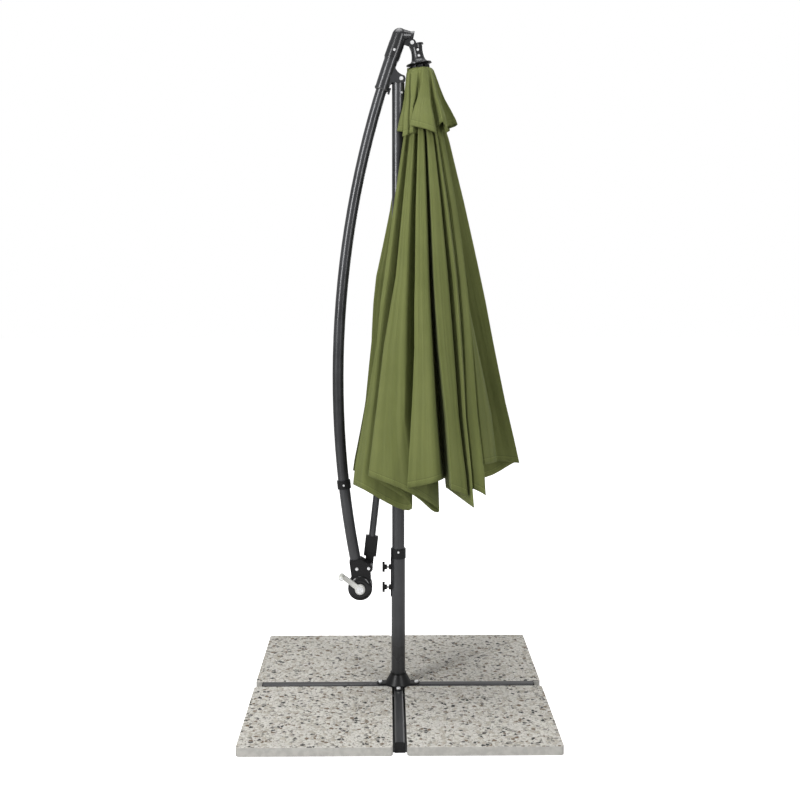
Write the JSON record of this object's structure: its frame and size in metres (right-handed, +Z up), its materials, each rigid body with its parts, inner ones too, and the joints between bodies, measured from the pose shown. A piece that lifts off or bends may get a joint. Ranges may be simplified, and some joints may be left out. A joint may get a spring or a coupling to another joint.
{
  "type": "cantilever umbrella with base",
  "caption": "Folded cantilever patio umbrella with a curved arm, a crank hoist and a swivelling pole on a steel cross foot weighted with square paving slabs.",
  "frame": {"origin": "on the ground under the pole, at the middle of the foot", "axes": "+Z up the pole, +X toward the canopy, -Y toward the side with the crank and screws"},
  "size_m": [1.045, 1.045, 2.401],
  "materials": {
    "frame_metal": "satin",
    "concrete": "matte",
    "cast_black": "satin",
    "black_plastic": "satin",
    "drum_gloss": "gloss",
    "zinc": "satin",
    "steel_cable": "satin",
    "nylon": "matte",
    "lever_plastic": "satin",
    "grip_plastic": "gloss",
    "cloth": "matte"
  },
  "bodies": {
    "base": {"base_arm_right": "frame_metal", "base_arm_back": "frame_metal", "base_arm_left": "frame_metal", "base_arm_front": "frame_metal", "base_arm_caps": "black_plastic", "slab_front_left": "concrete", "slab_front_right": "concrete", "slab_back_left": "concrete", "slab_back_right": "concrete", "pole_foot": "black_plastic", "foot_bolts": "zinc", "lower_pole": "frame_metal", "swivel_seat": "black_plastic", "swivel_bush": "nylon", "pole_collar": "black_plastic", "pole_collar_screw": "zinc", "knob_strip": "black_plastic"},
    "mast": {"upper_pole": "frame_metal", "pole_top_bracket": "cast_black", "pole_top_screws": "zinc", "sleeve_pin": "zinc", "strut_clamp": "black_plastic", "strut_pivot_bolt": "zinc"},
    "sleeve": {"guide_sleeve": "frame_metal", "guide_liner": "nylon"},
    "arm": {"upper_arm_tube": "frame_metal", "lower_arm_tube": "frame_metal", "arm_collar": "black_plastic", "arm_bolts": "zinc", "elbow": "cast_black", "elbow_pin": "zinc", "housing_front": "black_plastic", "housing_rear": "black_plastic", "drum_cover": "drum_gloss", "crank_bushes": "nylon", "lift_cable_arm": "steel_cable"},
    "strut": {"strut_tube": "frame_metal", "strut_eye": "black_plastic", "strut_sleeve": "black_plastic", "strut_end_bolt": "zinc"},
    "canopy": {"crown": "cast_black", "crown_bolts": "zinc", "rib_holder": "black_plastic", "ribs": "frame_metal", "rib_tips": "black_plastic", "stretchers": "frame_metal", "runner": "black_plastic", "lift_cable_hub": "steel_cable", "canopy": "cloth", "vent_cap": "cloth"},
    "crank": {"crank_axle": "zinc", "cable_spool": "nylon", "crank_lever": "lever_plastic", "grip_pin": "zinc"},
    "grip": {"crank_grip": "grip_plastic"},
    "pulley": {"elbow_pulley": "nylon"},
    "knob_upper": {"lock_knob_upper": "black_plastic", "lock_stud_upper": "zinc"},
    "knob_lower": {"lock_knob_lower": "black_plastic", "lock_stud_lower": "zinc"}
  },
  "joints": [
    {"name": "mast_swivel", "type": "hinge", "parent": "base", "child": "mast", "pos_m": [0, 0, 0.35], "axis": [0, 0, 1], "continuous": true},
    {"name": "arm_lift", "type": "hinge", "parent": "sleeve", "child": "arm", "pos_m": [3.284, 0, 1.1447], "axis": [0, 1, 0], "range_deg": [0, 23.1]},
    {"name": "sleeve_tilt", "type": "hinge", "parent": "mast", "child": "sleeve", "pos_m": [0.0108, 0, 2.221], "axis": [0, 1, 0], "range_deg": [0, 46.3]},
    {"name": "strut_swing", "type": "hinge", "parent": "mast", "child": "strut", "pos_m": [-0.015, 0.043, 1.285], "axis": [0, 1, 0], "range_deg": [0, 151.1]},
    {"name": "canopy_hang", "type": "hinge", "parent": "arm", "child": "canopy", "pos_m": [0.0493, 0, 2.3466], "axis": [0, 1, 0], "range_deg": [-66.5, 0]},
    {"name": "crank_turn", "type": "hinge", "parent": "arm", "child": "crank", "pos_m": [-0.138, -0.03, 0.393], "axis": [0, -1, 0], "continuous": true},
    {"name": "grip_spin", "type": "hinge", "parent": "crank", "child": "grip", "pos_m": [-0.20446, -0.068, 0.44437], "axis": [0, -1, 0], "continuous": true},
    {"name": "pulley_spin", "type": "hinge", "parent": "arm", "child": "pulley", "pos_m": [0.0493, 0, 2.3466], "axis": [0, 1, 0], "continuous": true},
    {"name": "knob_upper_turn", "type": "hinge", "parent": "base", "child": "knob_upper", "pos_m": [-0.05, 0, 0.464], "axis": [-1, 0, 0], "range_deg": [0, 270]},
    {"name": "knob_lower_turn", "type": "hinge", "parent": "base", "child": "knob_lower", "pos_m": [-0.05, 0, 0.39], "axis": [-1, 0, 0], "range_deg": [0, 270]}
  ],
  "couplings": [
    {"joint": "sleeve_tilt", "follows": "arm_lift", "ratio": 2},
    {"joint": "strut_swing", "follows": "arm_lift", "ratio": 6.5367},
    {"joint": "canopy_hang", "follows": "arm_lift", "ratio": -2.87},
    {"joint": "pulley_spin", "follows": "crank_turn", "ratio": 1.0685}
  ]
}
